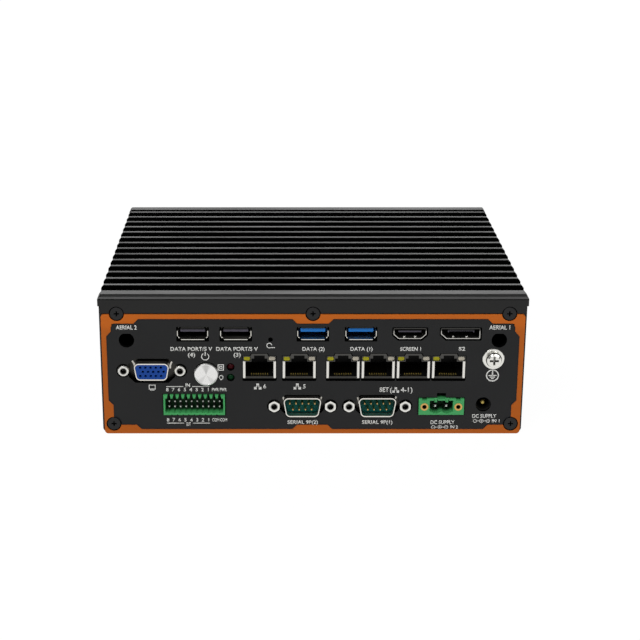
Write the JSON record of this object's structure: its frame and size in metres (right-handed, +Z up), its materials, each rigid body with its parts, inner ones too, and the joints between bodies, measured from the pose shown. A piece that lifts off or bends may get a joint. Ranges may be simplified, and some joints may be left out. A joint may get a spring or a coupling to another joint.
{
  "type": "fanless industrial computer",
  "caption": "Fanless industrial computer: finned black heat sink lid over a folded tray, with an orange front plate of data, network, display and serial ports, terminals and a power button.",
  "frame": {"origin": "middle of the flat underside, half way between the front film and the back plate", "axes": "+X to the right of the front plate, +Y from the front plate towards the back, +Z up through the fins"},
  "size_m": [0.188, 0.1553, 0.065],
  "materials": {
    "black_anodised": "matt black anodised",
    "black_steel": "fine black powder coat",
    "orange_plate": "orange, satin",
    "printed_film": "dark grey printed film",
    "black_screw": "black oxide",
    "nickel": "nickel plated",
    "button_metal": "turned, bright rim",
    "red_lens": "diffused dark red, unlit",
    "green_lens": "diffused dark green, unlit",
    "clear_lens": "frosted, unlit",
    "amber_lens": "frosted yellow green, unlit",
    "tin_shell": "tin plated",
    "blue_plastic": "moulded blue",
    "teal_plastic": "moulded dark teal",
    "black_plastic": "moulded black",
    "green_plastic": "moulded green",
    "light_green_plastic": "moulded light green",
    "gold_contacts": "gold plated",
    "tin_pins": "tin plated",
    "brass": "turned brass",
    "board": "green solder mask",
    "chip": "dark package",
    "thermal": "soft grey pad",
    "copper_block": "milled copper",
    "standoff": "nickel plated brass"
  },
  "bodies": {
    "casing": {"activity_light_pipes": "clear_lens", "av_port_shell": "tin_shell", "av_port_tongue": "black_plastic", "board_standoffs": "standoff", "bottom_screws": "black_screw", "chassis_tray": "black_steel", "control_board": "board", "data_port_shell_1": "tin_shell", "data_port_shell_2": "tin_shell", "data_port_shell_3": "tin_shell", "data_port_shell_4": "tin_shell", "data_port_tongues_black": "black_plastic", "data_port_tongues_blue": "blue_plastic", "dc_jack": "black_plastic", "dc_jack_pin": "tin_pins", "dc_terminal": "light_green_plastic", "display_port_shell": "tin_shell", "display_port_tongue": "black_plastic", "front_panel": "orange_plate", "front_screws": "black_screw", "ground_screw": "nickel", "ground_washer": "nickel", "heat_block": "copper_block", "heat_sink": "black_anodised", "io_terminal": "green_plastic", "link_light_pipes": "amber_lens", "mainboard": "board", "memory_module": "board", "network_board": "board", "network_jack_contacts": "gold_contacts", "network_jack_insert_1": "black_plastic", "network_jack_insert_2": "black_plastic", "network_jack_insert_3": "black_plastic", "network_jack_insert_4": "black_plastic", "network_jack_insert_5": "black_plastic", "network_jack_insert_6": "black_plastic", "network_jack_shells": "tin_shell", "panel_overlay": "printed_film", "port_jackscrews": "nickel", "power_board": "board", "power_switch": "black_plastic", "processor": "chip", "rear_panel": "black_anodised", "rear_screws": "black_screw", "reset_switch": "black_plastic", "serial_port_inserts": "teal_plastic", "serial_port_pins": "gold_contacts", "serial_port_shell_1": "tin_shell", "serial_port_shell_2": "tin_shell", "side_screws": "black_screw", "status_led_green": "green_lens", "status_led_red": "red_lens", "storage_card": "board", "terminal_nuts": "brass", "terminal_pins": "tin_pins", "thermal_pad": "thermal", "video_port_insert": "blue_plastic", "video_port_shell": "tin_shell"},
    "button": {"power_button": "button_metal"},
    "reset": {"reset_plunger": "black_plastic"}
  },
  "joints": [
    {"name": "power_button_press", "type": "slide", "parent": "casing", "child": "button", "axis": [0, 1, 0], "range_m": [0, 0.0015], "stiffness_N_per_m": 2000, "springref_m": -0.0005},
    {"name": "reset_press", "type": "slide", "parent": "casing", "child": "reset", "axis": [0, 1, 0], "range_m": [0, 0.0003], "stiffness_N_per_m": 3000, "springref_m": -0.0002}
  ]
}
